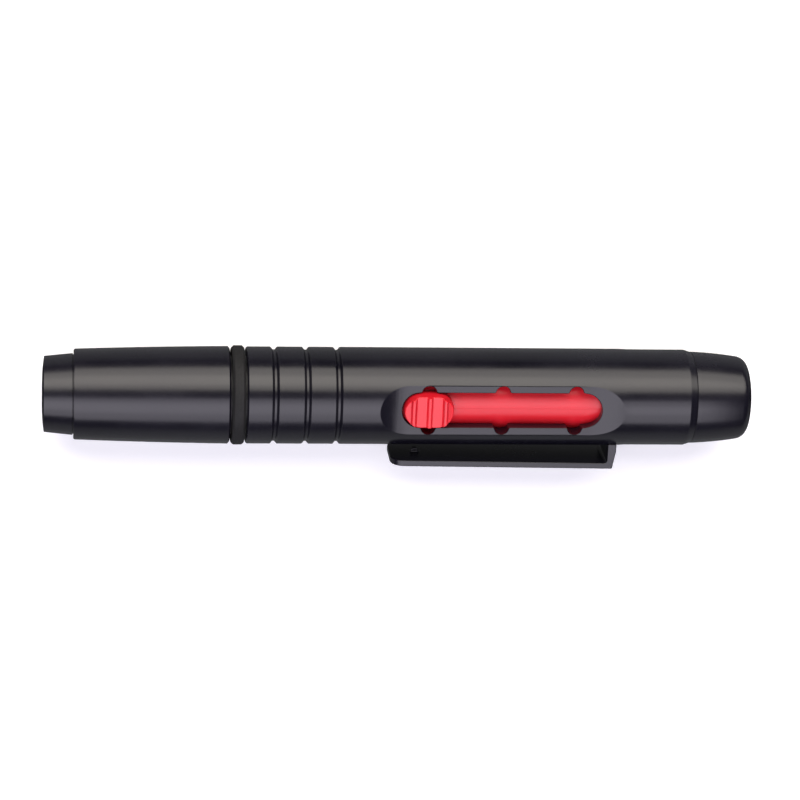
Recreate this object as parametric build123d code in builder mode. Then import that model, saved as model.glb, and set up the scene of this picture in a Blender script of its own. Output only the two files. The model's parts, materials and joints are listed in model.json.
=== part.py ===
"""Lens cleaning pen: a pull-off cap over a cleaning tip at one end, and a retractable brush at the other.

The pen lies on a flat surface (z = 0) as it comes to rest, rolled towards its pocket clip. +X points at
the brush end, +Z is up, and the origin is under the middle of the bounding box. Lengths are millimetres.
Stations along the pen, here called s, are distances from the rim of the cap's end plug. The plug's end
face is crowned, so its flat middle stands a little behind s = 0.
"""

import os
from math import asin, atan, cos, degrees, hypot, sin, sqrt

from build123d import *

os.makedirs("parts", exist_ok=True)

# ---------------------------------------------------------------- driving dimensions
LENGTH = 114.0
CROWN = 0.30  # how far the middle of the end plug stands out beyond its rim
CROWN_FLAT_R = 2.5
PEN_END = LENGTH - CROWN

# barrel
BARREL_R = 7.82
BARREL_START, BARREL_END = 32.15, 104.45
BAND_R = 7.80
BANDS_END = 47.3
GRIP_START, GRIP_R = 93.9, 7.75  # the true cylinder behind the nose piece
GRIP_CHAMFER, BARREL_END_R = 1.10, 7.40
BAND_EDGE, BAND_STEP = 0.2, 0.1
BORE_R = 5.40
HOLDER_SEAT_R, HOLDER_SEAT_END = 6.00, 44.0
NOSE_SEAT_R, NOSE_SEAT_START = 6.20, 97.0
GROOVES = (36.6, 41.7, 46.7)
GROOVE_TOP, GROOVE_FLOOR, GROOVE_DEPTH = 1.10, 0.35, 0.45

# recess, slot and detent notches
FLOOR = 6.64  # height of the recess floor above the axis
RECESS_START, RECESS_END = 53.2, 92.7
RUN_OUT_REAR, RUN_OUT_FRONT = 5.0, 5.5
SLOT_START, SLOT_END, SLOT_W = 56.8, 89.1, 5.90
NOTCH_FIRST, NOTCH_PITCH, NOTCH_R = 61.1, 11.85, 1.15
NOTCH_BLEND = 0.30
SLOT_CUT_FROM = 3.0  # height above the axis, inside the bore, where the slot's cut starts

# nose piece
NOSE_START = 104.5
NOSE_R, NOSE_MID_R, NOSE_TIP_R = 7.43, 7.09, 6.72
NOSE_MID, NOSE_ROUNDING = 109.3, 1.6
NOSE_EDGE, NOSE_SPIGOT_GAP = 0.08, 0.3
LIP_R, LIP_T, LIP_BORE_R = 5.0, 0.5, 4.75  # the lip that the brush passes through

# pocket clip
CLIP_OUT, CLIP_OUT_ROOT, CLIP_T = 10.5, 10.88, 1.0  # outer face to axis at each end, plate thickness
CLIP_HALF_W = 4.43
CLIP_START, CLIP_END = 55.6, 92.25
LEG_T, LEG_SLANT, FOOT_Y = 1.4, 0.5, 6.0
CLIP_CORNER_R, CLIP_ROOT_R, CLIP_RIM_R = 2.2, 0.5, 0.2
NUB_S, NUB_L, NUB_W, NUB_H = 59.8, 1.8, 1.4, 0.85
NUB_TAPER = 15  # degrees

# seal ring and cap
RING_START, RING_END = 29.80, 31.85
RING_R, RING_EDGE = 7.97, 0.35
RING_SLIP = 0.06  # between the ring and the neck it turns on
CAP_START, CAP_END = 4.68, 29.50
CAP_BACK_R, CAP_MID_R, CAP_FRONT_R = 7.26, 7.57, 7.83
CAP_MID = 15.0
CAP_BACK_EDGE = 0.3  # radius of the cap's back edge
CAP_LIP_L, CAP_LIP_H = 0.25, 0.33  # chamfer at the cap's mouth
CAP_BORE_R = 6.38
PLUG_END_R, PLUG_SHOULDER_R, PLUG_SHOULDER, PLUG_INNER = 6.08, 6.54, 4.56, 8.2

# cleaning tip and its holder
NECK_R, NECK_START, NECK_EDGE = 6.30, 22.0, 0.6
HOLDER_WALL, HOLDER_WEB_END = 1.5, 37.0
STEM_R, STEM_END = 1.80, 36.0
HEAD_R, HEAD_START, HEAD_END, HEAD_TAPER_END = 2.60, 12.8, 13.3, 14.4
COLLAR_R, COLLAR_START = 3.4, 20.0
HUB_R, HUB_START, HUB_END = 3.2, 16.2, 19.0
FLARE_RIM, FLARE_MID, FLARE_MID_R = 12.6, 14.0, 3.9
TIP_R, TIP_FACE, PAD_T, DISH = 5.50, 11.1, 0.5, 0.5
TIP_GAP = 0.35  # between the cleaning pad and the carbon pad

# brush and its carriage
CARRIAGE_R, CARRIAGE_IN_R = 5.34, 4.30
CARRIAGE_START, CARRIAGE_END, CARRIAGE_CHAMFER = 46.0, 89.4, 0.15
CARRIAGE_PLUG_L, SOCKET_R, SOCKET_L = 4.0, 2.0, 2.0
FERRULE_R, FERRULE_T = 4.28, 0.30
FERRULE_START, FERRULE_END = 84.0, 93.5
CRIMP, CRIMP_FLAT, CRIMP_RAMP, CRIMP_DEPTH = 91.55, 0.5, 0.3, 0.15
GLUE_START = 84.5
TUFT_ROOT, TUFT_END = 87.0, 112.5
TUFT_BELLY, TUFT_BELLY_R = 103.5, 4.45
TUFT_CROWN, TUFT_CROWN_R = 110.3, 3.3
BUTTON_W, BUTTON_L, BUTTON_BASE, PAD_TOP, RIB_TOP = 5.60, 8.20, 6.30, 7.75, 8.30
BUTTON_TAPER = 9  # degrees
BUTTON_REAR_H, BUTTON_FRONT_H = 7.25, 7.40  # where the ramps over the two ends run out
BUTTON_REST_GAP = 0.05  # to the slot's rear end, beyond the gap on each side
RIB_PITCH, RIB_FOOT, RIB_CREST = 2.50, 0.80, 0.55
PEG_L, PEG_W, PEG_END = 5.0, 2.4, 4.15

FIT = 0.02  # between pieces pressed or glued together
OVERCUT = 0.5  # how far a cutting profile reaches past what it cuts

# ---------------------------------------------------------------- how the pen lies
# The ring and the clip's far corner both touch the surface, which fixes the roll towards the clip.
AXIS_Z = RING_R
LEAN = asin(AXIS_Z / hypot(CLIP_OUT_ROOT, CLIP_HALF_W)) - atan(CLIP_HALF_W / CLIP_OUT_ROOT)
AXIS_Y = (CLIP_OUT_ROOT * cos(LEAN) + CLIP_HALF_W * sin(LEAN) - RING_R) / 2
RIM = (CROWN - LENGTH / 2, AXIS_Y, AXIS_Z)  # the point on the axis at s = 0
SLOT_NORMAL = (0, -sin(LEAN), cos(LEAN))
ACROSS = (0, cos(LEAN), sin(LEAN))  # square to the slot's normal and the axis, away from the clip

AXIS = Axis(RIM, (1, 0, 0))
# SIDE: sketch x is s and y is the height above the axis, towards the slot. It also holds the turned
# profiles, with y as the radius. TOP: sketch x is s and y runs across the pen, away from the clip.
SIDE = Plane(origin=RIM, x_dir=(1, 0, 0), z_dir=(0, -cos(LEAN), -sin(LEAN)))
TOP = Plane(origin=RIM, x_dir=(1, 0, 0), z_dir=SLOT_NORMAL)


def save(piece, name):
    """Labels a finished piece and writes it out."""
    piece.part.label = name
    export_step(piece.part, f"parts/{name}.step")


def across(distance):
    """A plane square to the pen's axis, at the station s = distance. Sketch x is ACROSS."""
    return Plane(origin=(RIM[0] + distance, AXIS_Y, AXIS_Z), x_dir=ACROSS, z_dir=(1, 0, 0))


def dished(rim_s):
    """Three points of an arc from the rim of the dished tip at s = rim_s to its middle."""
    sphere_r = (TIP_R**2 + DISH**2) / (2 * DISH)
    half_way = DISH - sphere_r + sqrt(sphere_r**2 - (TIP_R / 2) ** 2)
    return (rim_s, TIP_R), (rim_s + half_way, TIP_R / 2), (rim_s + DISH, 0)


# ---------------------------------------------------------------- barrel
with BuildPart() as barrel:
    with BuildSketch(SIDE):
        Polygon(
            (BARREL_START, HOLDER_SEAT_R),
            (BARREL_START, BAND_R - BAND_EDGE),
            (BARREL_START + BAND_EDGE, BAND_R),
            (BANDS_END, BAND_R),
            (BANDS_END + BAND_STEP, BARREL_R),
            (RECESS_START, BARREL_R),
            (GRIP_START, GRIP_R),
            (BARREL_END - GRIP_CHAMFER, GRIP_R),
            (BARREL_END, BARREL_END_R),
            (BARREL_END, NOSE_SEAT_R),
            (NOSE_SEAT_START, NOSE_SEAT_R),
            (NOSE_SEAT_START, BORE_R),
            (HOLDER_SEAT_END, BORE_R),
            (HOLDER_SEAT_END, HOLDER_SEAT_R),
            align=None,
        )
    revolve(axis=AXIS)
    # decorative grooves with sloped walls and a narrow flat floor
    with BuildSketch(SIDE):
        for s in GROOVES:
            Polygon(
                (s - GROOVE_TOP / 2, BAND_R + BAND_STEP),
                (s - GROOVE_FLOOR / 2, BAND_R - GROOVE_DEPTH),
                (s + GROOVE_FLOOR / 2, BAND_R - GROOVE_DEPTH),
                (s + GROOVE_TOP / 2, BAND_R + BAND_STEP),
                align=None,
            )
    revolve(axis=AXIS, mode=Mode.SUBTRACT)
    # flat recess with a scooped run-out at each end
    depth = BARREL_R - FLOOR
    rear_r = (RUN_OUT_REAR**2 + depth**2) / (2 * depth)
    front_r = (RUN_OUT_FRONT**2 + depth**2) / (2 * depth)
    with BuildSketch(SIDE):
        with BuildLine():
            floor_line = Line((RECESS_START + RUN_OUT_REAR, FLOOR), (RECESS_END - RUN_OUT_FRONT, FLOOR))
            front_arc = JernArc(
                start=floor_line @ 1,
                tangent=(1, 0),
                radius=front_r,
                arc_size=degrees(asin(RUN_OUT_FRONT / front_r)),
            )
            rear_arc = JernArc(
                start=floor_line @ 0,
                tangent=(-1, 0),
                radius=rear_r,
                arc_size=-degrees(asin(RUN_OUT_REAR / rear_r)),
            )
            Polyline(
                front_arc @ 1,
                (RECESS_END + OVERCUT, BARREL_R + OVERCUT),
                (RECESS_START - OVERCUT, BARREL_R + OVERCUT),
                rear_arc @ 1,
            )
        make_face()
    extrude(amount=BARREL_R, both=True, mode=Mode.SUBTRACT)
    # slot with three pairs of detent notches, blended into its edges
    with BuildSketch(TOP.offset(SLOT_CUT_FROM)):
        with Locations(((SLOT_START + SLOT_END) / 2, 0)):
            SlotOverall(SLOT_END - SLOT_START, SLOT_W)
        notches = [
            (NOTCH_FIRST + i * NOTCH_PITCH, side * SLOT_W / 2) for i in range(3) for side in (-1, 1)
        ]
        with Locations(*notches):
            Circle(NOTCH_R)
        offset(amount=NOTCH_BLEND, kind=Kind.INTERSECTION, mode=Mode.REPLACE)
        offset(amount=-NOTCH_BLEND, kind=Kind.ARC, mode=Mode.REPLACE)
    extrude(amount=BARREL_R, mode=Mode.SUBTRACT)
    # pocket for the foot of the clip
    with BuildSketch(TOP):
        with Locations((CLIP_END - LEG_T / 2, -FOOT_Y - BARREL_R / 2)):
            Rectangle(LEG_T + 2 * FIT, BARREL_R)
    extrude(amount=CLIP_HALF_W + FIT, both=True, mode=Mode.SUBTRACT)
save(barrel, "barrel")

# ---------------------------------------------------------------- nose piece
with BuildPart() as nose_piece:
    with BuildSketch(SIDE):
        with BuildLine():
            taper = ThreePointArc(
                (NOSE_START + NOSE_EDGE, NOSE_R),
                (NOSE_MID, NOSE_MID_R),
                (PEN_END - NOSE_ROUNDING, NOSE_TIP_R),
            )
            rounding = TangentArc(taper @ 1, (PEN_END, LIP_R), tangent=taper % 1)
            Polyline(
                rounding @ 1,
                (PEN_END, LIP_BORE_R),
                (PEN_END - LIP_T, LIP_BORE_R),
                (PEN_END - LIP_T, BORE_R),
                (NOSE_SEAT_START + NOSE_SPIGOT_GAP, BORE_R),
                (NOSE_SEAT_START + NOSE_SPIGOT_GAP, NOSE_SEAT_R - FIT),
                (NOSE_START, NOSE_SEAT_R - FIT),
                (NOSE_START, NOSE_R - NOSE_EDGE),
                taper @ 0,
            )
        make_face()
    revolve(axis=AXIS)
save(nose_piece, "nose_piece")

# ---------------------------------------------------------------- pocket clip
with BuildPart() as pocket_clip:
    with BuildSketch(TOP):
        with BuildLine():
            Polyline(
                (CLIP_START, -CLIP_OUT + CLIP_T),
                (CLIP_END - LEG_T, -CLIP_OUT_ROOT + CLIP_T),
                (CLIP_END - LEG_T, -FOOT_Y),
                (CLIP_END, -FOOT_Y),
                (CLIP_END, -BARREL_R),
                (CLIP_END - LEG_SLANT, -CLIP_OUT_ROOT),
                (CLIP_START, -CLIP_OUT),
                close=True,
            )
        outline = make_face()
        inner_root = (CLIP_END - LEG_T, -CLIP_OUT_ROOT + CLIP_T)
        fillet(outline.vertices().sort_by_distance(inner_root)[0], CLIP_ROOT_R)
    extrude(amount=CLIP_HALF_W, both=True)
    free_end = pocket_clip.edges().filter_by(Axis((0, 0, 0), ACROSS)).group_by(Axis.X)[0]
    fillet(free_end, radius=CLIP_CORNER_R)
    # grip nub under the free end, rooted inside the plate
    with BuildSketch(Plane(origin=RIM, x_dir=(1, 0, 0), z_dir=ACROSS).offset(-CLIP_OUT + CLIP_T / 2)):
        with Locations((NUB_S, 0)):
            Rectangle(NUB_L, NUB_W)
    extrude(amount=NUB_H + CLIP_T / 2, taper=NUB_TAPER)
    outer_rim = pocket_clip.faces().sort_by(Axis((0, 0, 0), ACROSS))[0].edges()
    fillet(outer_rim, radius=CLIP_RIM_R)
save(pocket_clip, "pocket_clip")

# ---------------------------------------------------------------- seal ring
with BuildPart() as seal_ring:
    with BuildSketch(SIDE):
        Polygon(
            (RING_START, NECK_R + RING_SLIP),
            (RING_START, RING_R - RING_EDGE),
            (RING_START + RING_EDGE, RING_R),
            (RING_END - RING_EDGE, RING_R),
            (RING_END, RING_R - RING_EDGE),
            (RING_END, NECK_R + RING_SLIP),
            align=None,
        )
    revolve(axis=AXIS)
save(seal_ring, "seal_ring")

# ---------------------------------------------------------------- cap
with BuildPart() as cap_shell:
    with BuildSketch(SIDE):
        with BuildLine():
            back_edge = RadiusArc(
                (CAP_START, CAP_BACK_R - CAP_BACK_EDGE),
                (CAP_START + CAP_BACK_EDGE, CAP_BACK_R),
                radius=CAP_BACK_EDGE,
            )
            skin = ThreePointArc(back_edge @ 1, (CAP_MID, CAP_MID_R), (CAP_END - CAP_LIP_L, CAP_FRONT_R))
            Polyline(
                skin @ 1,
                (CAP_END, CAP_FRONT_R - CAP_LIP_H),
                (CAP_END, CAP_BORE_R),
                (CAP_START, CAP_BORE_R),
                back_edge @ 0,
            )
        make_face()
    revolve(axis=AXIS)
save(cap_shell, "cap_shell")

# the crown's arc leaves the flat middle square to the axis and ends at the rim
CROWN_ARC_R = ((PLUG_END_R - CROWN_FLAT_R) ** 2 + CROWN**2) / (2 * CROWN)
CROWN_ARC = degrees(asin((PLUG_END_R - CROWN_FLAT_R) / CROWN_ARC_R))

with BuildPart() as cap_plug:
    with BuildSketch(SIDE):
        with BuildLine():
            crown = JernArc(
                start=(-CROWN, CROWN_FLAT_R),
                tangent=(0, 1),
                radius=CROWN_ARC_R,
                arc_size=-CROWN_ARC,
            )
            Polyline(
                crown @ 1,
                (PLUG_SHOULDER, PLUG_SHOULDER_R),
                (PLUG_SHOULDER, CAP_BORE_R - FIT),
                (PLUG_INNER, CAP_BORE_R - FIT),
                (PLUG_INNER, 0),
                (-CROWN, 0),
                crown @ 0,
            )
        make_face()
    revolve(axis=AXIS)
save(cap_plug, "cap_plug")

with BuildPart() as carbon_pad:
    with BuildSketch(SIDE):
        with BuildLine():
            Polyline(
                (TIP_FACE + DISH - TIP_GAP, 0),
                (PLUG_INNER, 0),
                (PLUG_INNER, CAP_BORE_R - FIT),
                (TIP_FACE - TIP_GAP, CAP_BORE_R - FIT),
                (TIP_FACE - TIP_GAP, TIP_R),
            )
            ThreePointArc(*dished(TIP_FACE - TIP_GAP))
        make_face()
    revolve(axis=AXIS)
save(carbon_pad, "carbon_pad")

# ---------------------------------------------------------------- cleaning tip
with BuildPart() as tip_holder:
    with BuildSketch(SIDE):
        Polygon(
            (NECK_START, STEM_R + FIT),
            (NECK_START, NECK_R - NECK_EDGE),
            (NECK_START + NECK_EDGE, NECK_R),
            (BARREL_START, NECK_R),
            (BARREL_START, HOLDER_SEAT_R - FIT),
            (HOLDER_SEAT_END, HOLDER_SEAT_R - FIT),
            (HOLDER_SEAT_END, HOLDER_SEAT_R - HOLDER_WALL),
            (HOLDER_WEB_END, HOLDER_SEAT_R - HOLDER_WALL),
            (HOLDER_WEB_END, STEM_R + FIT),
            align=None,
        )
    revolve(axis=AXIS)
save(tip_holder, "tip_holder")

with BuildPart() as tip_stem:
    with BuildSketch(SIDE):
        Polygon(
            (HEAD_START, 0),
            (HEAD_START, HEAD_R),
            (HEAD_END, HEAD_R),
            (HEAD_TAPER_END, STEM_R),
            (COLLAR_START, STEM_R),
            (COLLAR_START, COLLAR_R),
            (NECK_START, COLLAR_R),
            (NECK_START, STEM_R),
            (STEM_END, STEM_R),
            (STEM_END, 0),
            align=None,
        )
    revolve(axis=AXIS)
save(tip_stem, "tip_stem")

with BuildPart() as tip_cup:
    with BuildSketch(SIDE):
        with BuildLine():
            face_arc = ThreePointArc(*dished(TIP_FACE + PAD_T))
            back = Polyline(
                face_arc @ 1,
                (HEAD_START - FIT, 0),
                (HEAD_START - FIT, HEAD_R + FIT),
                (HEAD_END, HEAD_R + FIT),
                (HEAD_TAPER_END, STEM_R + FIT),
                (HUB_END, STEM_R + FIT),
                (HUB_END, HUB_R),
                (HUB_START, HUB_R),
            )
            flare = ThreePointArc(back @ 1, (FLARE_MID, FLARE_MID_R), (FLARE_RIM, TIP_R))
            Line(flare @ 1, face_arc @ 0)
        make_face()
    revolve(axis=AXIS)
save(tip_cup, "tip_cup")

with BuildPart() as cleaning_pad:
    with BuildSketch(SIDE):
        with BuildLine():
            front = ThreePointArc(*dished(TIP_FACE))
            rear = ThreePointArc(*dished(TIP_FACE + PAD_T))
            Line(front @ 0, rear @ 0)
            Line(front @ 1, rear @ 1)
        make_face()
    revolve(axis=AXIS)
save(cleaning_pad, "cleaning_pad")

# ---------------------------------------------------------------- brush carriage
BUTTON_S = SLOT_START + (SLOT_W - BUTTON_W) / 2 + BUTTON_REST_GAP + BUTTON_L / 2

with BuildPart() as brush_carriage:
    with BuildSketch(across(CARRIAGE_START)):
        Circle(CARRIAGE_R)
        Circle(CARRIAGE_IN_R, mode=Mode.SUBTRACT)
    extrude(amount=CARRIAGE_END - CARRIAGE_START)
    outer_edges = brush_carriage.edges().filter_by(GeomType.CIRCLE).sort_by(SortBy.RADIUS)[-2:]
    chamfer(outer_edges, CARRIAGE_CHAMFER)
    # window that the button's peg snaps into
    with BuildSketch(TOP.offset(CARRIAGE_IN_R / 2)):
        with Locations((BUTTON_S, 0)):
            Rectangle(PEG_L + 2 * FIT, PEG_W + 2 * FIT)
    extrude(amount=CARRIAGE_R, mode=Mode.SUBTRACT)
save(brush_carriage, "brush_carriage")

with BuildPart() as thumb_button:
    # tapered envelope of the button, to just over its ribs
    with BuildSketch(TOP.offset(BUTTON_BASE)):
        with Locations((BUTTON_S, 0)):
            SlotOverall(BUTTON_L, BUTTON_W)
    extrude(amount=RIB_TOP + OVERCUT - BUTTON_BASE, taper=BUTTON_TAPER)
    with BuildSketch(TOP.offset(BUTTON_BASE)):
        with Locations((BUTTON_S, 0)):
            SlotOverall(BUTTON_L, BUTTON_W)
    extrude(amount=CARRIAGE_IN_R - BUTTON_BASE)
    # saddle that sits on the carriage
    with BuildSketch(across(BUTTON_S - BUTTON_L)):
        Circle(CARRIAGE_R)
    extrude(amount=2 * BUTTON_L, mode=Mode.SUBTRACT)
    # two thumb pads between three cross ribs, and a ramp down to each end
    with BuildSketch(SIDE):
        with BuildLine():
            rear, front = BUTTON_S - BUTTON_L / 2 - OVERCUT, BUTTON_S + BUTTON_L / 2 + OVERCUT
            steps = [(rear, BUTTON_REAR_H)]
            for i in (-1, 0, 1):
                s = BUTTON_S + i * RIB_PITCH
                steps += [
                    (s - RIB_FOOT / 2, PAD_TOP),
                    (s - RIB_CREST / 2, RIB_TOP),
                    (s + RIB_CREST / 2, RIB_TOP),
                    (s + RIB_FOOT / 2, PAD_TOP),
                ]
            steps += [
                (front, BUTTON_FRONT_H),
                (front, RIB_TOP + 2 * OVERCUT),
                (rear, RIB_TOP + 2 * OVERCUT),
            ]
            Polyline(*steps, close=True)
        make_face()
    extrude(amount=BUTTON_W, both=True, mode=Mode.SUBTRACT)
    # peg through the carriage's wall
    with BuildSketch(TOP.offset(PEG_END)):
        with Locations((BUTTON_S, 0)):
            Rectangle(PEG_L, PEG_W)
    extrude(amount=BUTTON_BASE - PEG_END)
save(thumb_button, "thumb_button")

with BuildPart() as carriage_plug:
    with BuildSketch(across(CARRIAGE_START)):
        Circle(CARRIAGE_IN_R - FIT)
    extrude(amount=CARRIAGE_PLUG_L)
    with BuildSketch(across(CARRIAGE_START)):
        Circle(SOCKET_R)
    extrude(amount=SOCKET_L, mode=Mode.SUBTRACT)
save(carriage_plug, "carriage_plug")

# ---------------------------------------------------------------- brush
crimp_start, crimp_end = CRIMP - CRIMP_FLAT / 2, CRIMP + CRIMP_FLAT / 2

with BuildPart() as brush_ferrule:
    with BuildSketch(SIDE):
        Polygon(
            (FERRULE_START, FERRULE_R - FERRULE_T),
            (FERRULE_START, FERRULE_R),
            (crimp_start - CRIMP_RAMP, FERRULE_R),
            (crimp_start, FERRULE_R - CRIMP_DEPTH),
            (crimp_end, FERRULE_R - CRIMP_DEPTH),
            (crimp_end + CRIMP_RAMP, FERRULE_R),
            (FERRULE_END, FERRULE_R),
            (FERRULE_END, FERRULE_R - FERRULE_T),
            align=None,
        )
    revolve(axis=AXIS)
save(brush_ferrule, "brush_ferrule")

with BuildPart() as bristle_plug:
    with BuildSketch(across(GLUE_START)):
        Circle(FERRULE_R - FERRULE_T - FIT)
    extrude(amount=TUFT_ROOT - GLUE_START)
save(bristle_plug, "bristle_plug")

with BuildPart() as bristles:
    with BuildSketch(SIDE):
        with BuildLine():
            root = Polyline(
                (TUFT_ROOT, 0),
                (TUFT_ROOT, FERRULE_R - FERRULE_T - FIT),
                (FERRULE_END, FERRULE_R - FERRULE_T - FIT),
            )
            belly = Spline(
                root @ 1,
                (TUFT_BELLY, TUFT_BELLY_R),
                (TUFT_CROWN, TUFT_CROWN_R),
                (TUFT_END, 0),
                tangents=((1, 0.12), (0, -1)),
            )
            Line(belly @ 1, root @ 0)
        make_face()
    revolve(axis=AXIS)
save(bristles, "bristles")
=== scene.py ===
"""A lens cleaning pen on a pale floor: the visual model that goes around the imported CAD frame."""

import json
import math
import random

import bmesh
import bpy
from mathutils import Matrix, Vector


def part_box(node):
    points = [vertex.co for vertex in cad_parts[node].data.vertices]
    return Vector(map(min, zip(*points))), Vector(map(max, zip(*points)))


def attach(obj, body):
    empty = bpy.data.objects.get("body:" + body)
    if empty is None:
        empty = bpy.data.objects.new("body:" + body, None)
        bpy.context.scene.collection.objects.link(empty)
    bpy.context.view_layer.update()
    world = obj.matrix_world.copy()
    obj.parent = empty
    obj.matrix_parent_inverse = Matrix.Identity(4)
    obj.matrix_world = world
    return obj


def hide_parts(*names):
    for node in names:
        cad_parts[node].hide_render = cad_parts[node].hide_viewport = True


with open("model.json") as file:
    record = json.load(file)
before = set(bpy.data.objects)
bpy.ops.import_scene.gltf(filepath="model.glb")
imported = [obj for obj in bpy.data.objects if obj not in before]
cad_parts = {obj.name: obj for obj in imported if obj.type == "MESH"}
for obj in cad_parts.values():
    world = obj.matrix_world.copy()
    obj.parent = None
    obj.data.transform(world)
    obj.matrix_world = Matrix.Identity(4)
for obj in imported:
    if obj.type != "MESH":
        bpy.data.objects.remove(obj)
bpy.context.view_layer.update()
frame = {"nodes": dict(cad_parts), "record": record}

MM = 0.001
RECORD = frame["record"]
MOUNTS = {m["name"]: Vector(m["pos_m"]) for m in RECORD["mounts"]}

# ------------------------------------------------------------------ the pen's own frame
# Pieces are made in millimetres along the pen: x is s, the distance from the end plug's rim, y runs
# across the pen, away from the clip, and z points out of the slot. PEN puts them in the row frame.
CROWN = 0.3  # how far the end plug's middle stands out beyond its rim
CAP_END = MOUNTS["cap_end"] + Vector((CROWN * MM, 0, 0))  # the rim of the end plug, where s is 0
AWAY = Vector((0, *(CAP_END - MOUNTS["clip_gap"]).yz)).normalized()
OUT = Vector((1, 0, 0)).cross(AWAY)
AXES = Matrix((Vector((1, 0, 0)), AWAY, OUT)).transposed().to_4x4()
PEN = Matrix.Translation(CAP_END) @ AXES @ Matrix.Scale(MM, 4)


def ends(node):
    """First and last station of a CAD node, in millimetres from the plug's rim."""
    lo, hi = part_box(node)
    return (lo.x - CAP_END.x) / MM, (hi.x - CAP_END.x) / MM


def turned_radius(node):
    """Largest radius of a turned CAD node, in millimetres."""
    lo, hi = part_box(node)
    return (hi.z - lo.z) / 2 / MM


# ------------------------------------------------------------------ camera
# It looks down on the pen from a little towards the cap's end.
VIEW_DISTANCE = 0.4962
VIEW_TILT = math.radians(6.1)
VIEW_ROLL = math.radians(0.29)
AIM_X, AIM_BELOW_AXIS_Y = 0.0004, 0.0007
SENSOR, LENS = 36, 138.375


def add_camera():
    data = bpy.data.cameras.new("camera")
    data.sensor_width = SENSOR
    data.lens = LENS
    camera = bpy.data.objects.new("camera", data)
    bpy.context.scene.collection.objects.link(camera)
    aim = Vector((AIM_X, CAP_END.y - AIM_BELOW_AXIS_Y, CAP_END.z))
    back = Vector((-math.sin(VIEW_TILT), 0, math.cos(VIEW_TILT)))
    camera.location = aim + back * VIEW_DISTANCE
    right = Vector((math.cos(VIEW_TILT), 0, math.sin(VIEW_TILT)))
    turn = Matrix.Rotation(VIEW_ROLL, 4, back)
    axes = Matrix((turn @ right, turn @ Vector((0, 1, 0)), back)).transposed()
    camera.rotation_euler = axes.to_euler()
    data.clip_start = 0.01
    bpy.context.scene.camera = camera


# ------------------------------------------------------------------ floor, light and world
FLOOR_HALF = 1.5
# The painted reflection plane's glow by distance, in metres, from the line under the pen: a painted
# shadow under the pen, a painted reflection of the floor beyond.
PAINTED_SHADOW_MIDDLE_Y = 0.0025
PAINTED_REFLECTION_GLOW = ((0.0055, 0.0), (0.007, 0.065), (0.014, 0.27), (0.04, 0.31), (0.12, 0.18))
FAR_PAINTED_GLOW = 0.12
# Name, angles, stations, radiance, colour and shape of each softbox.
SOFTBOXES = (
    ("softbox_far", (10.5, 67.5), (-0.75, 0.95), 2.9, (1.0, 0.95, 0.88), "ELLIPSE"),
    ("softbox_far_core", (22, 46), (-0.55, 0.5), 1.4, (1.0, 0.93, 0.85), "ELLIPSE"),
    ("softbox_near", (-9.5, -67), (-0.75, 0.36), 2.3, (0.93, 0.89, 1.0), "RECTANGLE"),
    ("softbox_near_core", (-20, -46), (-0.55, 0.33), 0.9, (0.94, 0.90, 1.0), "ELLIPSE"),
)
SOFTBOX_REACH = 0.7


def add_plane(name, colour):
    """A wide level surface at the height that the pen lies on. Returns it with its material's tools."""
    mesh = bpy.data.meshes.new(name)
    half = FLOOR_HALF
    corners = [(-half, -half, 0), (half, -half, 0), (half, half, 0), (-half, half, 0)]
    mesh.from_pydata(corners, [], [(0, 1, 2, 3)])
    plane = bpy.data.objects.new(name, mesh)
    bpy.context.scene.collection.objects.link(plane)
    mat, tree, shader = new_material(name, Roughness=0.9, Specular_IOR_Level=0.1)
    shader.inputs["Base Color"].default_value = (*colour, 1)
    shader.inputs["Emission Color"].default_value = (0.97, 0.98, 1.0, 1)
    mesh.materials.append(mat)
    return plane, tree, shader


def add_floor():
    """A white floor, and in the same place a dimmer plane that only glossy rays see.

    The plane's glow is a painted reflection of the floor with a painted shadow under the pen, a stand-in
    fitted to the look of the pen's shiny sides, not a real tabletop."""
    floor, tree, shader = add_plane("floor", (0.90, 0.90, 0.92))
    shader.inputs["Emission Strength"].default_value = 0.25
    floor.visible_glossy = False

    # a plane seen only in reflections, whose emission is a painted reflection of the floor with a
    # painted shadow under the pen
    painted_reflection, tree, shader = add_plane("painted_reflection_plane", (0.05, 0.05, 0.05))
    painted_reflection.visible_camera = False
    painted_reflection.visible_diffuse = False
    painted_reflection.visible_shadow = False
    painted_reflection.visible_transmission = False
    # its glow is painted: a painted shadow darkest under the pen, a painted reflection palest a few
    # centimetres away, fading into the room
    coords = tree.nodes.new("ShaderNodeTexCoord")
    place = tree.nodes.new("ShaderNodeSeparateXYZ")
    tree.links.new(coords.outputs["Object"], place.inputs["Vector"])
    aside = tree.nodes.new("ShaderNodeMath")
    aside.operation = "SUBTRACT"
    aside.inputs[1].default_value = PAINTED_SHADOW_MIDDLE_Y
    tree.links.new(place.outputs["Y"], aside.inputs[0])
    away = tree.nodes.new("ShaderNodeMath")
    away.operation = "ABSOLUTE"
    tree.links.new(aside.outputs["Value"], away.inputs[0])
    painted_glow = tree.nodes.new("ShaderNodeFloatCurve")
    line = painted_glow.mapping.curves[0]
    line.points[0].location = (0, 0)
    line.points[1].location = (1, FAR_PAINTED_GLOW)
    for distance, strength in PAINTED_REFLECTION_GLOW:
        line.points.new(distance, strength)
    for point in line.points:
        point.handle_type = "VECTOR"
    painted_glow.mapping.update()
    tree.links.new(away.outputs["Value"], painted_glow.inputs["Value"])
    tree.links.new(painted_glow.outputs["Value"], shader.inputs["Emission Strength"])


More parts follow.
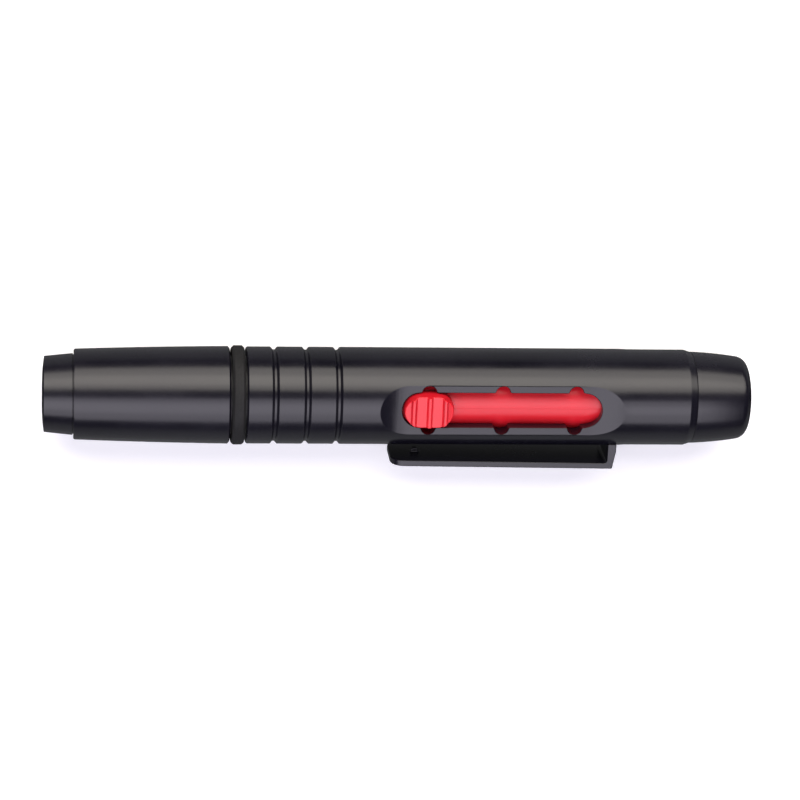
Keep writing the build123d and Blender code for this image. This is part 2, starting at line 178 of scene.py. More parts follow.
def add_softbox(name, angles, stations, radiance, colour, shape):
    """A long softbox over the pen. Its angles are degrees from overhead towards +Y, and its stations
    are metres along X."""
    low, high = (math.radians(a) for a in angles)
    middle = (low + high) / 2
    away = Vector((0, math.sin(middle), math.cos(middle)))
    along = Vector((1, 0, 0))
    light = bpy.data.lights.new(name, "AREA")
    light.shape = shape
    light.size = stations[1] - stations[0]
    light.size_y = 2 * SOFTBOX_REACH * math.tan(abs(high - low) / 2)
    area = light.size * light.size_y * (math.pi / 4 if shape == "ELLIPSE" else 1)
    light.energy = radiance * math.pi * area
    light.color = colour
    lamp = bpy.data.objects.new(name, light)
    bpy.context.scene.collection.objects.link(lamp)
    lamp.location = away * SOFTBOX_REACH + along * (stations[0] + stations[1]) / 2
    lamp.rotation_euler = Matrix((along, away.cross(along), away)).transposed().to_euler()


def add_world():
    world = bpy.data.worlds.new("world")
    world.use_nodes = True
    bpy.context.scene.world = world
    sky = world.node_tree.nodes["Background"]
    sky.inputs["Color"].default_value = (0.82, 0.80, 1.0, 1)
    sky.inputs["Strength"].default_value = 0.06


# ------------------------------------------------------------------ materials
def new_material(name, **values):
    """A material with uniform values on the shader's own sockets, its node tree and its shader."""
    mat = bpy.data.materials.new(name)
    mat.use_nodes = True
    shader = mat.node_tree.nodes["Principled BSDF"]
    for socket, value in values.items():
        shader.inputs[socket.replace("_", " ")].default_value = value
    return mat, mat.node_tree, shader


def stretched_noise(tree, scale, stretch, detail=3.0, roughness=0.6):
    """Noise over object coordinates, with its own stretch along each axis."""
    coords = tree.nodes.new("ShaderNodeTexCoord")
    mapping = tree.nodes.new("ShaderNodeMapping")
    mapping.inputs["Scale"].default_value = stretch
    noise = tree.nodes.new("ShaderNodeTexNoise")
    noise.inputs["Scale"].default_value = scale
    noise.inputs["Detail"].default_value = detail
    noise.inputs["Roughness"].default_value = roughness
    tree.links.new(coords.outputs["Object"], mapping.inputs["Vector"])
    tree.links.new(mapping.outputs["Vector"], noise.inputs["Vector"])
    return noise.outputs["Fac"]


def ranged(tree, value, low, high, start=0.3, end=0.7):
    """The value remapped so that start..end becomes low..high."""
    node = tree.nodes.new("ShaderNodeMapRange")
    node.inputs["From Min"].default_value = start
    node.inputs["From Max"].default_value = end
    node.inputs["To Min"].default_value = low
    node.inputs["To Max"].default_value = high
    tree.links.new(value, node.inputs["Value"])
    return node.outputs["Result"]


def tinted(tree, value, dark, light):
    """A colour between dark and light by the value."""
    node = tree.nodes.new("ShaderNodeMix")
    node.data_type = "RGBA"
    node.inputs["A"].default_value = (*dark, 1)
    node.inputs["B"].default_value = (*light, 1)
    tree.links.new(value, node.inputs["Factor"])
    return node.outputs["Result"]


def coloured(tree, shader, value, dark, light):
    """Sets the base colour from dark to light by the value."""
    tree.links.new(tinted(tree, value, dark, light), shader.inputs["Base Color"])


def bumped(tree, shader, layers):
    """Chains bump layers of (height, distance in mm, strength) into the shader's normal."""
    last = None
    for height, distance, strength in layers:
        bump = tree.nodes.new("ShaderNodeBump")
        bump.inputs["Distance"].default_value = distance * MM
        bump.inputs["Strength"].default_value = strength
        tree.links.new(height, bump.inputs["Height"])
        if last:
            tree.links.new(last, bump.inputs["Normal"])
        last = bump.outputs["Normal"]
    tree.links.new(last, shader.inputs["Normal"])


def black_plastic():
    mat, tree, shader = new_material("black_plastic", IOR=1.5)
    rings = stretched_noise(tree, 900, (1.0, 0.04, 0.04), detail=4)
    waves = stretched_noise(tree, 420, (0.3, 1, 1), detail=2)
    specks = stretched_noise(tree, 2600, (1, 1, 1), detail=2)
    smears = stretched_noise(tree, 70, (1, 1, 1), detail=5)
    coloured(tree, shader, ranged(tree, smears, 0, 1),
             (0.0035, 0.0032, 0.0065), (0.0060, 0.0055, 0.0105))
    tree.links.new(ranged(tree, smears, 0.20, 0.28), shader.inputs["Roughness"])
    bumped(tree, shader, [(waves, 0.010, 0.5), (rings, 0.006, 0.6), (specks, 0.003, 0.4)])
    return mat


def ring_rubber():
    mat, tree, shader = new_material("ring_rubber", IOR=1.38)
    grain = stretched_noise(tree, 5000, (1, 1, 1), detail=3)
    patches = stretched_noise(tree, 300, (1, 1, 1), detail=3)
    coloured(tree, shader, ranged(tree, patches, 0, 1), (0.006, 0.006, 0.0065), (0.011, 0.011, 0.012))
    tree.links.new(ranged(tree, grain, 0.62, 0.8), shader.inputs["Roughness"])
    bumped(tree, shader, [(grain, 0.02, 0.5)])
    return mat


def red_plastic(name, dark, light):
    mat, tree, shader = new_material(name, IOR=1.49, Subsurface_Weight=0.12, Subsurface_Scale=0.0006,
                                     Subsurface_Radius=(1.0, 0.15, 0.15))
    rings = stretched_noise(tree, 700, (0.05, 1, 1), detail=3)
    patches = stretched_noise(tree, 120, (1, 1, 1), detail=4)
    coloured(tree, shader, ranged(tree, patches, 0, 1, 0, 1), dark, light)
    tree.links.new(ranged(tree, patches, 0.26, 0.31, 0, 1), shader.inputs["Roughness"])
    bumped(tree, shader, [(rings, 0.002, 0.3)])
    return mat


def soft_rubber():
    mat, tree, shader = new_material("soft_rubber", IOR=1.45)
    grain = stretched_noise(tree, 3000, (1, 1, 1), detail=4)
    coloured(tree, shader, ranged(tree, grain, 0, 1), (0.016, 0.016, 0.018), (0.028, 0.028, 0.031))
    tree.links.new(ranged(tree, grain, 0.5, 0.7), shader.inputs["Roughness"])
    bumped(tree, shader, [(grain, 0.012, 0.5)])
    return mat


def suede():
    mat, tree, shader = new_material("suede", Sheen_Weight=0.5, Sheen_Roughness=0.4)
    nap = stretched_noise(tree, 9000, (1, 1, 1), detail=4)
    patches = stretched_noise(tree, 900, (1, 1, 1), detail=3)
    coloured(tree, shader, ranged(tree, patches, 0, 1), (0.014, 0.014, 0.016), (0.036, 0.036, 0.039))
    tree.links.new(ranged(tree, nap, 0.85, 1.0), shader.inputs["Roughness"])
    bumped(tree, shader, [(nap, 0.05, 0.9)])
    return mat


def carbon_foam():
    mat, tree, shader = new_material("carbon_foam")
    cells = tree.nodes.new("ShaderNodeTexVoronoi")
    cells.inputs["Scale"].default_value = 3200
    coords = tree.nodes.new("ShaderNodeTexCoord")
    tree.links.new(coords.outputs["Object"], cells.inputs["Vector"])
    coloured(tree, shader, ranged(tree, cells.outputs["Distance"], 0, 1, 0, 0.6),
             (0.004, 0.004, 0.004), (0.03, 0.03, 0.032))
    rough = ranged(tree, cells.outputs["Distance"], 0.95, 0.8, 0, 0.6)
    tree.links.new(rough, shader.inputs["Roughness"])
    bumped(tree, shader, [(cells.outputs["Distance"], 0.1, 0.8)])
    return mat


def matte_plastic():
    mat, tree, shader = new_material("inner_plastic", IOR=1.5)
    grain = stretched_noise(tree, 1800, (1, 1, 1), detail=4)
    coloured(tree, shader, ranged(tree, grain, 0, 1, 0, 1), (0.012, 0.012, 0.013), (0.017, 0.017, 0.018))
    tree.links.new(ranged(tree, grain, 0.40, 0.50, 0, 1), shader.inputs["Roughness"])
    bumped(tree, shader, [(grain, 0.003, 0.3)])
    return mat


def rolled_aluminium():
    mat, tree, shader = new_material("rolled_aluminium", Metallic=1.0)
    rings = stretched_noise(tree, 1500, (1, 0.05, 0.05), detail=4)
    coloured(tree, shader, ranged(tree, rings, 0, 1), (0.62, 0.63, 0.65), (0.78, 0.79, 0.80))
    tree.links.new(ranged(tree, rings, 0.24, 0.38), shader.inputs["Roughness"])
    bumped(tree, shader, [(rings, 0.003, 0.5)])
    return mat


def hair():
    mat, tree, shader = new_material("goat_hair", IOR=1.55)
    strands = stretched_noise(tree, 4200, (0.03, 1, 1), detail=3)
    coloured(tree, shader, ranged(tree, strands, 0, 1), (0.010, 0.008, 0.007), (0.055, 0.042, 0.034))
    tree.links.new(ranged(tree, strands, 0.35, 0.55), shader.inputs["Roughness"])
    return mat


def resin():
    mat, tree, shader = new_material("resin", IOR=1.5)
    lumps = stretched_noise(tree, 800, (1, 1, 1), detail=4)
    coloured(tree, shader, ranged(tree, lumps, 0, 1), (0.22, 0.16, 0.08), (0.36, 0.28, 0.16))
    tree.links.new(ranged(tree, lumps, 0.3, 0.5), shader.inputs["Roughness"])
    bumped(tree, shader, [(lumps, 0.05, 0.5)])
    return mat


MATERIALS = {
    "black_plastic": black_plastic(),
    "ring_rubber": ring_rubber(),
    "red_plastic": red_plastic("red_plastic", (0.60, 0.008, 0.018), (0.68, 0.013, 0.026)),
    "tip_rubber": soft_rubber(),
    "suede": suede(),
    "carbon_foam": carbon_foam(),
    "inner_plastic": matte_plastic(),
    "ferrule_metal": rolled_aluminium(),
    "hair": hair(),
    "glue": resin(),
}
NODE_SLOT = {p["node"]: p["material_slot"] for p in RECORD["subparts"]}

add_camera()
add_floor()
add_world()
for softbox in SOFTBOXES:
    add_softbox(*softbox)


# ------------------------------------------------------------------ mesh tools
def rounded(corners, steps=5):
    """A closed outline from (x, y) or (x, y, radius) corners, with an arc wherever a radius is given."""
    points = []
    for i, corner in enumerate(corners):
        here, radius = Vector(corner[:2]), corner[2] if len(corner) > 2 else 0
        if not radius:
            points.append(here)
            continue
        to_last = (Vector(corners[i - 1][:2]) - here).normalized()
        to_next = (Vector(corners[(i + 1) % len(corners)][:2]) - here).normalized()
        half = math.acos(max(-1, min(1, to_last.dot(to_next)))) / 2
        centre = here + (to_last + to_next).normalized() * radius / math.sin(half)
        start = here + to_last * radius / math.tan(half) - centre
        end = here + to_next * radius / math.tan(half) - centre
        turn = start.angle_signed(end)
        for k in range(steps + 1):
            points.append(centre + Matrix.Rotation(-turn * k / steps, 2) @ start)
    return points


def arc(start, middle, end, steps=12):
    """Points of the arc through three points, without the last one."""
    (ax, ay), (bx, by), (cx, cy) = start, middle, end
    d = 2 * (ax * (by - cy) + bx * (cy - ay) + cx * (ay - by))
    a2, b2, c2 = ax * ax + ay * ay, bx * bx + by * by, cx * cx + cy * cy
    centre = Vector(((a2 * (by - cy) + b2 * (cy - ay) + c2 * (ay - by)) / d,
                     (a2 * (cx - bx) + b2 * (ax - cx) + c2 * (bx - ax)) / d))
    first = Vector(start) - centre
    turn = first.angle_signed(Vector(end) - centre)
    return [tuple(centre + Matrix.Rotation(-turn * k / steps, 2) @ first) for k in range(steps)]


def lathe(outline, segments=256):
    """A closed outline of (s, radius) points turned about the pen's axis, as a bmesh in millimetres."""
    bm = bmesh.new()
    rings = []
    for s, r in outline:
        if r < 1e-6:
            rings.append([bm.verts.new((s, 0, 0))] * segments)
            continue
        angles = [2 * math.pi * (k + 0.5) / segments for k in range(segments)]
        rings.append([bm.verts.new((s, r * math.sin(a), r * math.cos(a))) for a in angles])
    for ring, after in zip(rings, rings[1:] + rings[:1]):
        for k in range(segments):
            j = (k + 1) % segments
            corners = list(dict.fromkeys((ring[k], ring[j], after[j], after[k])))
            if len(corners) > 2:
                bm.faces.new(corners)
    bmesh.ops.recalc_face_normals(bm, faces=bm.faces)
    return bm


def prism(outline, place, low, high):
    """An outline pushed from low to high, with place(u, v, w) giving each point in pen millimetres."""
    bm = bmesh.new()
    floor = [bm.verts.new(place(u, v, low)) for u, v in outline]
    roof = [bm.verts.new(place(u, v, high)) for u, v in outline]
    bm.faces.new(floor)
    bm.faces.new(roof)
    for k in range(len(outline)):
        j = (k + 1) % len(outline)
        bm.faces.new((floor[k], floor[j], roof[j], roof[k]))
    bmesh.ops.recalc_face_normals(bm, faces=bm.faces)
    return bm


def along_y(u, v, w):
    """Outline in (s, height), pushed across the pen."""
    return u, w, v


def along_z(u, v, w):
    """Outline in (s, across), pushed up out of the slot."""
    return u, v, w


def to_object(bm, name):
    mesh = bpy.data.meshes.new(name)
    bm.to_mesh(mesh)
    bm.free()
    obj = bpy.data.objects.new(name, mesh)
    bpy.context.scene.collection.objects.link(obj)
    return obj


def applied(obj, kind, **settings):
    """Runs one modifier on the object's mesh and keeps its result."""
    modifier = obj.modifiers.new(kind.lower(), kind)
    for key, value in settings.items():
        setattr(modifier, key, value)
    graph = bpy.context.evaluated_depsgraph_get()
    made = bpy.data.meshes.new_from_object(obj.evaluated_get(graph))
    obj.modifiers.clear()
    obj.data = made
    return obj


def combined(obj, tool, operation):
    """Boolean of the object with a bmesh tool: DIFFERENCE, INTERSECT or UNION."""
    other = to_object(tool, "tool")
    applied(obj, "BOOLEAN", operation=operation, object=other, solver="EXACT")
    bpy.data.objects.remove(other)
    return obj


def eased(obj, width, sharper_than=50, segments=4):
    """Rounds the edges that turn by more than the given angle."""
    return applied(obj, "BEVEL", width=width, segments=segments, limit_method="ANGLE",
                   angle_limit=math.radians(sharper_than), use_clamp_overlap=False,
                   miter_outer="MITER_ARC")


def placed(obj, body, node, keep_sharp=24):
    """Shades a finished piece, puts it in the row frame, and gives it its material and its body."""
    obj.data.shade_smooth()
    obj.data.set_sharp_from_angle(angle=math.radians(keep_sharp))
    applied(obj, "WEIGHTED_NORMAL", keep_sharp=True, weight=60)
    obj.data.transform(PEN)
    obj.data.materials.clear()
    obj.data.materials.append(MATERIALS[NODE_SLOT[node]])
    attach(obj, body)
    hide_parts(node)


# ------------------------------------------------------------------ cap
# The radii are given as how far they lie inside the mouth's outer radius.
CAP_BORE, CAP_BACK, CAP_MIDDLE, CAP_MIDDLE_S = 1.45, 0.57, 0.26, 10.32
CAP_BACK_EDGE, CAP_LIP_L, CAP_LIP_H = 0.3, 0.25, 0.33
PLUG_RIM_R, PLUG_FLAT_R, PLUG_SHOULDER_S = 6.08, 2.5, 4.86
PLUG_CROWN_RADII = (0, PLUG_FLAT_R, 3.2, 3.9, 4.5, 5.1, 5.6)
PLUG_GAP = 0.02


def make_cap():
    s0, s1 = ends("cap_shell")
    r1 = turned_radius("cap_shell")
    bore, r0 = r1 - CAP_BORE, r1 - CAP_BACK
    lip = s1 - CAP_LIP_L
    skin = arc((s0 + CAP_BACK_EDGE, r0), (s0 + CAP_MIDDLE_S, r1 - CAP_MIDDLE), (lip, r1), steps=24)
    outline = rounded([(s0, bore, 0.1), (s0, r0 - 0.25, 0.05), (s0 + 0.08, r0 - 0.08), *skin,
                       (lip, r1, 0.12), (s1, r1 - CAP_LIP_H, 0.05), (s1, bore, 0.15)])
    placed(to_object(lathe(outline), "cap_skin"), "cap", "cap_shell")

    p0, p1 = ends("cap_plug")
    shoulder, plug_r = p0 + PLUG_SHOULDER_S, bore - PLUG_GAP
    crown = [(p0 + CROWN * (max(0, r - PLUG_FLAT_R) / (PLUG_RIM_R - PLUG_FLAT_R)) ** 2, r)
             for r in PLUG_CROWN_RADII]
    outline = rounded([*crown, (p0 + CROWN, PLUG_RIM_R, 0.1),
                       (shoulder, turned_radius("cap_plug"), 0.06), (shoulder, plug_r),
                       (p1, plug_r), (p1, 0)])
    placed(to_object(lathe(outline), "cap_end_plug"), "cap", "cap_plug")


# ------------------------------------------------------------------ seal ring
RING_EDGE, RING_WALL = 0.35, 1.61


def make_ring():
    s0, s1 = ends("seal_ring")
    r = turned_radius("seal_ring")
    edge, bore = RING_EDGE, r - RING_WALL
    outline = rounded([(s0, bore), (s0, r - edge, 0.08), (s0 + edge, r, 0.1), (s1 - edge, r, 0.1),
                       (s1, r - edge, 0.08), (s1, bore)])
    placed(to_object(lathe(outline), "rubber_ring"), "cap_seal", "seal_ring")


# ------------------------------------------------------------------ barrel
BARREL_START, BARREL_END = ends("barrel")
BARREL_R, BAND_R, GRIP_R, BORE_R = 7.82, 7.80, 7.75, 5.40
BARREL_TIP_R, GRIP_CHAMFER = 7.40, 1.10
BANDS_END, GRIP_START = 47.6, 93.9
HOLDER_SEAT_R, HOLDER_SEAT_END = 6.0, 44.0
NOSE_SEAT_R, NOSE_SEAT_START = 6.2, 97.0
GROOVES = (36.6, 41.7, 46.7)
GROOVE_TOP, GROOVE_FLOOR, GROOVE_DEPTH = 0.55, 0.175, 0.45  # half widths, and depth
FLOOR = 6.64  # height of the recess floor above the axis
RECESS = (53.2, 92.7)
RUN_OUT = (5.0, 5.5)  # how long the floor takes to curve up to the barrel at each end
SLOT = (56.8, 89.1)
SLOT_HALF_W = 2.95
SLOT_CUT_FROM = 3.0
NOTCHES = [61.1 + 11.85 * i for i in range(3)]
NOTCH_R, NOTCH_BLEND = 1.15, 0.30


def groove(s):
    """The outline of one decorative groove, with softened lips."""
    bottom = BAND_R - GROOVE_DEPTH
    return [(s - GROOVE_TOP, BAND_R, 0.15), (s - GROOVE_FLOOR, bottom, 0.06),
            (s + GROOVE_FLOOR, bottom, 0.06), (s + GROOVE_TOP, BAND_R, 0.15)]


def slot_side(sign):
    """One edge of the slot, from left to right, dipping round each notch."""
    points = []
    blend_x = math.sqrt((NOTCH_R + NOTCH_BLEND) ** 2 - NOTCH_BLEND**2)
    lean = math.atan2(NOTCH_BLEND, blend_x)
    for s in NOTCHES:
        left = Vector((s - blend_x, SLOT_HALF_W + NOTCH_BLEND))
        right = Vector((s + blend_x, SLOT_HALF_W + NOTCH_BLEND))
        for k in range(5):
            a = -math.pi / 2 + (math.pi / 2 - lean) * k / 4
            points.append((left.x + NOTCH_BLEND * math.cos(a), left.y + NOTCH_BLEND * math.sin(a)))
        for k in range(1, 16):
            a = math.pi - lean - (math.pi - 2 * lean) * k / 16
            points.append((s + NOTCH_R * math.cos(a), SLOT_HALF_W + NOTCH_R * math.sin(a)))
        for k in range(5):
            a = math.pi + lean + (math.pi / 2 - lean) * k / 4
            points.append((right.x + NOTCH_BLEND * math.cos(a), right.y + NOTCH_BLEND * math.sin(a)))
    return [(s, sign * y) for s, y in points]


def slot_outline():
    """The slot with its round ends and three pairs of notches."""
    steps = 16
    rear, front = SLOT[0] + SLOT_HALF_W, SLOT[1] - SLOT_HALF_W
    angles = [math.pi / 2 - math.pi * k / steps for k in range(1, steps)]
    right = [(front + SLOT_HALF_W * math.cos(a), SLOT_HALF_W * math.sin(a)) for a in angles]
    left = [(rear - SLOT_HALF_W * math.cos(a), -SLOT_HALF_W * math.sin(a)) for a in angles]
    # the first and last notches run into the round ends, so what would cross there is dropped
    first, last = rear - 0.2, SLOT[1] - 1.6
    top = [p for p in slot_side(1) if first < p[0] < last]
    bottom = [p for p in reversed(slot_side(-1)) if first < p[0] < last]
    near = [p for p in right if p[0] > max(q[0] for q in top) + 0.05]
    far = [p for p in left if p[0] < min(q[0] for q in top) - 0.05]
    return top + near + bottom + far


def make_barrel():
    s0, s1 = BARREL_START, BARREL_END
    grooves = [corner for s in GROOVES for corner in groove(s)]
    outline = rounded([
        (s0, HOLDER_SEAT_R), (s0, BAND_R - 0.2, 0.04), (s0 + 0.2, BAND_R, 0.12), *grooves,
        (BANDS_END, BARREL_R), (RECESS[0], BARREL_R), (RECESS[1], BARREL_R), (GRIP_START, GRIP_R),
        (s1 - GRIP_CHAMFER, GRIP_R, 0.6), (s1, BARREL_TIP_R, 0.03), (s1, NOSE_SEAT_R),
        (NOSE_SEAT_START, NOSE_SEAT_R), (NOSE_SEAT_START, BORE_R), (HOLDER_SEAT_END, BORE_R),
        (HOLDER_SEAT_END, HOLDER_SEAT_R)])
    barrel = to_object(lathe(outline), "barrel_tube")

    depth = BARREL_R - FLOOR
    scoops = []
    for run in RUN_OUT:
        radius = (run**2 + depth**2) / (2 * depth)
        xs = [run * k / 10 for k in range(11)]
        scoops.append([(x, radius - math.sqrt(radius**2 - x**2)) for x in xs])
    cut = [(RECESS[0] + RUN_OUT[0] - x, FLOOR + h) for x, h in reversed(scoops[0])]
    cut += [(RECESS[1] - RUN_OUT[1] + x, FLOOR + h) for x, h in scoops[1]]
    cut += [(RECESS[1] + 0.6, BARREL_R + 1), (RECESS[0] - 0.6, BARREL_R + 1)]
    combined(barrel, prism(cut, along_y, -BARREL_R, BARREL_R), "DIFFERENCE")
    combined(barrel, prism(slot_outline(), along_z, SLOT_CUT_FROM, BARREL_R + 1), "DIFFERENCE")
    eased(barrel, 0.12)
    placed(barrel, "handle", "barrel")


# ------------------------------------------------------------------ nose piece
NOSE_START, NOSE_MIDDLE, NOSE_ROUNDING = 104.5, 109.3, 1.6
NOSE_R, NOSE_MIDDLE_R, NOSE_TIP_R = 7.43, 7.09, 6.72
LIP_R, LIP_BORE_R, LIP_T = 5.0, 4.75, 0.5
SPIGOT_R, SPIGOT_START = 6.18, 97.3


def make_nose():
    s1 = ends("nose_piece")[1]
    rounding = s1 - NOSE_ROUNDING
    taper = arc((NOSE_START + 0.06, NOSE_R), (NOSE_MIDDLE, NOSE_MIDDLE_R), (rounding, NOSE_TIP_R), 16)
    edge = arc((rounding, NOSE_TIP_R), (s1 - 0.42, 6.05), (s1, LIP_R), steps=10)
    outline = rounded([
        (NOSE_START, NOSE_R - 0.05), *taper, *edge, (s1, LIP_R - 0.04), (s1, LIP_BORE_R, 0.08),
        (s1 - LIP_T, LIP_BORE_R), (s1 - LIP_T, BORE_R), (SPIGOT_START, BORE_R),
        (SPIGOT_START, SPIGOT_R), (NOSE_START, SPIGOT_R)])
    placed(to_object(lathe(outline), "nose_collar"), "handle", "nose_piece")


# ------------------------------------------------------------------ pocket clip
CLIP_START, CLIP_HALF_W, CLIP_CORNER = 55.6, 4.43, 2.2
CLIP_OUT, CLIP_OUT_ROOT, CLIP_T = 10.5, 10.88, 1.0  # outer face to axis at each end, and thickness
LEG_T, LEG_SLANT, LEG_FOOT, LEG_KNEE = 1.4, 0.5, 6.6, 7.9
NUB = ((59.0, 0), (59.35, 0.85, 0.25), (60.25, 0.85, 0.25), (60.6, 0))  # its outline in (s, height)
NUB_SUNK, NUB_HALF_W = 0.2, 0.55


def make_clip():
    end = ends("pocket_clip")[1]
    inside, inside_root = CLIP_T - CLIP_OUT, CLIP_T - CLIP_OUT_ROOT
    side = rounded([
        (CLIP_START, inside), (end - LEG_T, inside_root, 0.5), (end - LEG_T, -LEG_FOOT),
        (end, -LEG_FOOT), (end, -LEG_KNEE), (end - LEG_SLANT, -CLIP_OUT_ROOT, 0.3),
        (CLIP_START, -CLIP_OUT)])
    clip = to_object(prism(side, along_z, -CLIP_HALF_W, CLIP_HALF_W), "clip_plate")
    plan = rounded([(CLIP_START, -CLIP_HALF_W, CLIP_CORNER), (end + 1, -CLIP_HALF_W),
                    (end + 1, CLIP_HALF_W), (CLIP_START, CLIP_HALF_W, CLIP_CORNER)], 12)
    combined(clip, prism(plan, along_y, -12, -5), "INTERSECT")
    nub = [(s, inside - NUB_SUNK + h) for s, h in rounded(NUB)]
    combined(clip, prism(nub, along_z, -NUB_HALF_W, NUB_HALF_W), "UNION")
    eased(clip, 0.16, sharper_than=35)
    placed(clip, "handle", "pocket_clip")


# ------------------------------------------------------------------ brush carriage and button
CARRIAGE_WALL = 1.04
SEAM_HALF_W, SEAM_H = 0.07, 0.025


def make_carriage():
    s0, s1 = ends("brush_carriage")
    r = turned_radius("brush_carriage")
    bore = r - CARRIAGE_WALL
    tube = lathe(rounded([(s0, bore, 0.1), (s0, r, 0.15), (s1, r, 0.15), (s1, bore, 0.1)]))
    # the mould's parting line, a fine ridge along the top
    for v in tube.verts:
        if abs(v.co.y) < SEAM_HALF_W and v.co.z > r - 0.1:
            v.co.z += SEAM_H
    placed(to_object(tube, "carriage_tube"), "brush", "brush_carriage")


def obround(centre, length, width, steps=14):
    """A flat outline with two straight sides and round ends."""
    half, reach = width / 2, length / 2 - width / 2
    right = [(centre + reach + half * math.cos(a), half * math.sin(a))
             for a in (-math.pi / 2 + math.pi * k / steps for k in range(steps + 1))]
    left = [(centre - reach - half * math.cos(a), -half * math.sin(a))
            for a in (-math.pi / 2 + math.pi * k / steps for k in range(steps + 1))]
    return right + left


BUTTON_W, BUTTON_BASE, BUTTON_TAPER_FROM = 5.6, 4.9, 6.3
BUTTON_INSET = 0.36  # by which the sides lean in at the tapered block's top, before the ribs are cut
PAD_TOP, RIB_TOP = 7.75, 8.3
RAMP_REAR, RAMP_FRONT = 7.25, 7.40
RIB_PITCH, RIB_HALF_FOOT, RIB_HALF_CREST = 2.5, 0.40, 0.27


def make_button():
    lo, hi = ends("thumb_button")
    centre, length = (lo + hi) / 2, hi - lo
    bm = bmesh.new()
    rings = []
    for z, inward in ((BUTTON_BASE, 0), (BUTTON_TAPER_FROM, 0), (RIB_TOP + 0.3, BUTTON_INSET)):
        outline = obround(centre, length - 2 * inward, BUTTON_W - 2 * inward)
        rings.append([bm.verts.new((x, y, z)) for x, y in outline])
    for ring, after in zip(rings, rings[1:]):
        for k in range(len(ring)):
            j = (k + 1) % len(ring)
            bm.faces.new((ring[k], ring[j], after[j], after[k]))
    bm.faces.new(rings[0])
    bm.faces.new(rings[-1])
    bmesh.ops.recalc_face_normals(bm, faces=bm.faces)
    button = to_object(bm, "slide_button")

    steps = [(lo - 0.5, RAMP_REAR)]
    for i in (-1, 0, 1):
        s = centre + RIB_PITCH * i
        steps += [(s - RIB_HALF_FOOT, PAD_TOP), (s - RIB_HALF_CREST, RIB_TOP),
                  (s + RIB_HALF_CREST, RIB_TOP), (s + RIB_HALF_FOOT, PAD_TOP)]
    steps += [(hi + 0.5, RAMP_FRONT), (hi + 0.5, RIB_TOP + 1), (lo - 0.5, RIB_TOP + 1)]
    combined(button, prism(steps, along_y, -BUTTON_W, BUTTON_W), "DIFFERENCE")
    eased(button, 0.13, sharper_than=32)
    placed(button, "brush", "thumb_button")


# ------------------------------------------------------------------ brush
FERRULE_WALL, CRIMP_DEPTH = 0.3, 0.16
CRIMP = (2.6, 2.2, 1.8, 1.4)  # its four corners, back from the front edge


def make_ferrule():
    s0, s1 = ends("brush_ferrule")
    r = turned_radius("brush_ferrule")
    bore, crimped = r - FERRULE_WALL, r - CRIMP_DEPTH
    a, b, c, d = (s1 - back for back in CRIMP)
    outline = rounded([(s0, bore), (s0, r), (a, r, 0.2), (b, crimped, 0.15), (c, crimped, 0.15),
                       (d, r, 0.2), (s1, r, 0.12), (s1, bore, 0.12)])
    placed(to_object(lathe(outline), "ferrule_band"), "brush", "brush_ferrule")


HAIRS, HAIR_RINGS, HAIR_SIDES = 2600, 9, 3
HAIR_SEED = 7
TUFT_ROOT_R, TUFT_BELLY, TUFT_DRAWN_IN = 3.92, 0.5, 0.9
HAIR_DOME, HAIR_UNEVEN = 2.6, 0.9  # how far short of the tuft's end a hair may stop
HAIR_BEND = 0.10
HAIR_THIN, HAIR_THICK = 0.040, 0.055  # radius at the root


def tuft_radius(s, root, tip):
    """Outer radius of the tuft at a station: a gentle belly, then a drawn-in end."""
    t = (s - root) / (tip - root)
    belly = TUFT_BELLY * math.sin(math.pi * min(1, t / 1.15))
    return TUFT_ROOT_R + belly - TUFT_DRAWN_IN * max(0, t - 0.6) ** 1.6


def make_bristles():
    """Every hair is its own tapered strand, from inside the ferrule to the domed end of the tuft."""
    draw = random.Random(HAIR_SEED)
    tip = ends("bristles")[1]
    root = ends("brush_ferrule")[1] - 1.0
    points, faces = [], []
    for _ in range(HAIRS):
        share, angle = math.sqrt(draw.random()), draw.uniform(0, 2 * math.pi)
        end = tip - HAIR_DOME * share**2.2 - HAIR_UNEVEN * draw.random() ** 3
        bend, bend_angle = draw.gauss(0, HAIR_BEND), draw.uniform(0, 2 * math.pi)
        thick = draw.uniform(HAIR_THIN, HAIR_THICK)
        start = len(points)
        for k in range(HAIR_RINGS):
            t = k / (HAIR_RINGS - 1)
            s = root + (end - root) * t
            r = min(share, 0.985) * tuft_radius(s, root, tip)
            y = r * math.cos(angle) + bend * t * t * math.cos(bend_angle)
            z = r * math.sin(angle) + bend * t * t * math.sin(bend_angle)
            fine = thick * (1 - 0.75 * t**3)
            for c in range(HAIR_SIDES):
                a = 2 * math.pi * c / HAIR_SIDES + angle
                points.append((s, y + fine * math.cos(a), z + fine * math.sin(a)))
        for k in range(HAIR_RINGS - 1):
            for c in range(HAIR_SIDES):
                a = start + HAIR_SIDES * k + c
                b = start + HAIR_SIDES * k + (c + 1) % HAIR_SIDES
                faces.append((a, b, b + HAIR_SIDES, a + HAIR_SIDES))
        last = len(points)
        faces.append((last - 3, last - 2, last - 1))
        faces.append((start + 2, start + 1, start))
    mesh = bpy.data.meshes.new("bristle_hairs")
    mesh.from_pydata(points, [], faces)
    mesh.validate()
    mesh.shade_smooth()
    mesh.transform(PEN)
    mesh.materials.append(MATERIALS["hair"])
    tuft = bpy.data.objects.new("bristle_hairs", mesh)
    bpy.context.scene.collection.objects.link(tuft)
    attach(tuft, "brush")
    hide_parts("bristles")


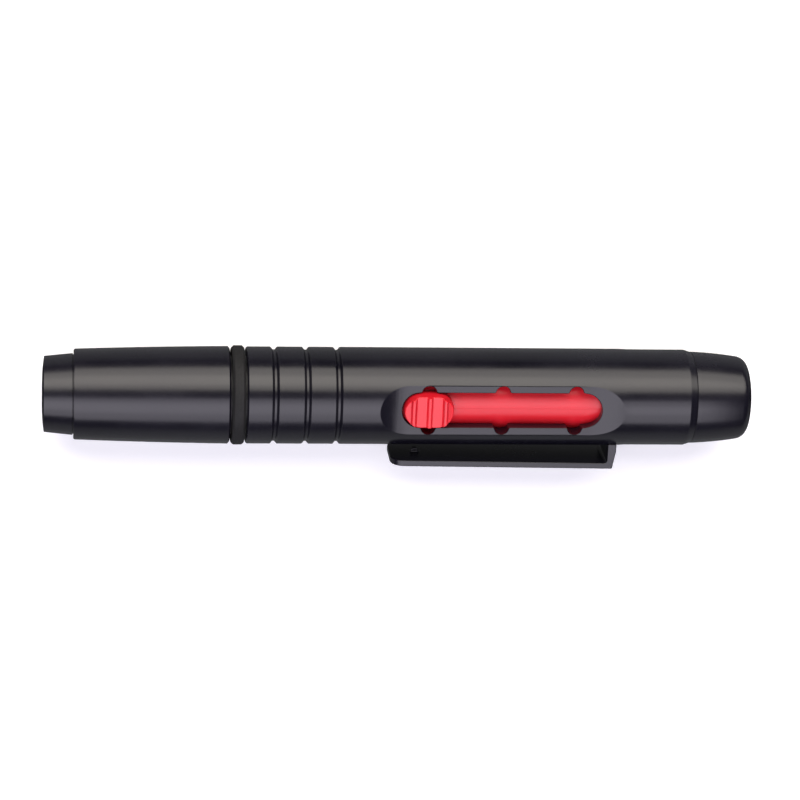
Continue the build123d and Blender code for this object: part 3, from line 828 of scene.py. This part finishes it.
# ------------------------------------------------------------------ cleaning tip
PAD_T, TIP_BORE_R, TIP_BORE_DEPTH = 0.5, 1.82, 3.3
HUB_R, HOLDER_EDGE = 3.2, 0.6
NECK_R, HOLDER_R, HOLDER_CAVITY_R, WEB_END = 6.3, 5.98, 4.5, 37
FOAM_GAP, FOAM_SEAT_R = 0.35, 5.6


def dish(s, reach, depth=0.5, steps=8):
    """Points of a shallow dish from its rim to its middle, at radius reach and station s."""
    return [(s + depth * (1 - (1 - k / steps) ** 2), reach * (1 - k / steps)) for k in range(steps + 1)]


def make_tip():
    face, r = ends("cleaning_pad")[0], turned_radius("cleaning_pad")
    pad = dish(face, r - 0.12) + list(reversed(dish(face + PAD_T, r)))
    pad += [(face + 0.16, r)]
    suede_disc = to_object(lathe(pad, 128), "suede_disc")
    placed(suede_disc, "handle", "cleaning_pad")

    back, bore_end = ends("tip_cup")[1], face + TIP_BORE_DEPTH
    cup = list(reversed(dish(face + PAD_T, r)))
    cup += [(face + 1.25, r), (face + 1.45, r - 0.15)]
    cup += arc((face + 1.5, r - 0.3), (face + 2.9, 3.95), (face + 5.1, HUB_R), steps=12)
    cup += [(back, HUB_R, 0.3), (back, TIP_BORE_R), (bore_end, TIP_BORE_R), (bore_end, 0)]
    placed(to_object(lathe(rounded(cup), 128), "rubber_tip"), "handle", "tip_cup")

    h0 = ends("tip_holder")[0]
    holder = rounded([
        (h0, TIP_BORE_R), (h0, NECK_R - HOLDER_EDGE, 0.15), (h0 + HOLDER_EDGE, NECK_R, 0.3),
        (BARREL_START, NECK_R), (BARREL_START, HOLDER_R), (HOLDER_SEAT_END, HOLDER_R),
        (HOLDER_SEAT_END, HOLDER_CAVITY_R), (WEB_END, HOLDER_CAVITY_R), (WEB_END, TIP_BORE_R)])
    placed(to_object(lathe(holder), "neck_plug"), "handle", "tip_holder")

    foam_back, foam_r = ends("carbon_pad")[0], turned_radius("carbon_pad")
    foam_face = face - FOAM_GAP
    foam = [(foam_back, 0), (foam_back, foam_r), (face - 0.5, foam_r),
            (face - 0.36, foam_r - 0.15), (foam_face, FOAM_SEAT_R), *dish(foam_face, r)]
    foam_pad = to_object(lathe(foam, 128), "foam_pad")
    placed(foam_pad, "cap", "carbon_pad")


make_cap()
make_ring()
make_barrel()
make_nose()
make_clip()
make_carriage()
make_button()
make_ferrule()
make_bristles()
make_tip()

KEPT_NODES = ("tip_stem", "carriage_plug", "bristle_plug")
for name in KEPT_NODES:
    node = frame["nodes"][name]
    node.data.materials.clear()
    node.data.materials.append(MATERIALS[NODE_SLOT[name]])

scene = bpy.context.scene
scene.view_settings.view_transform = "Standard"
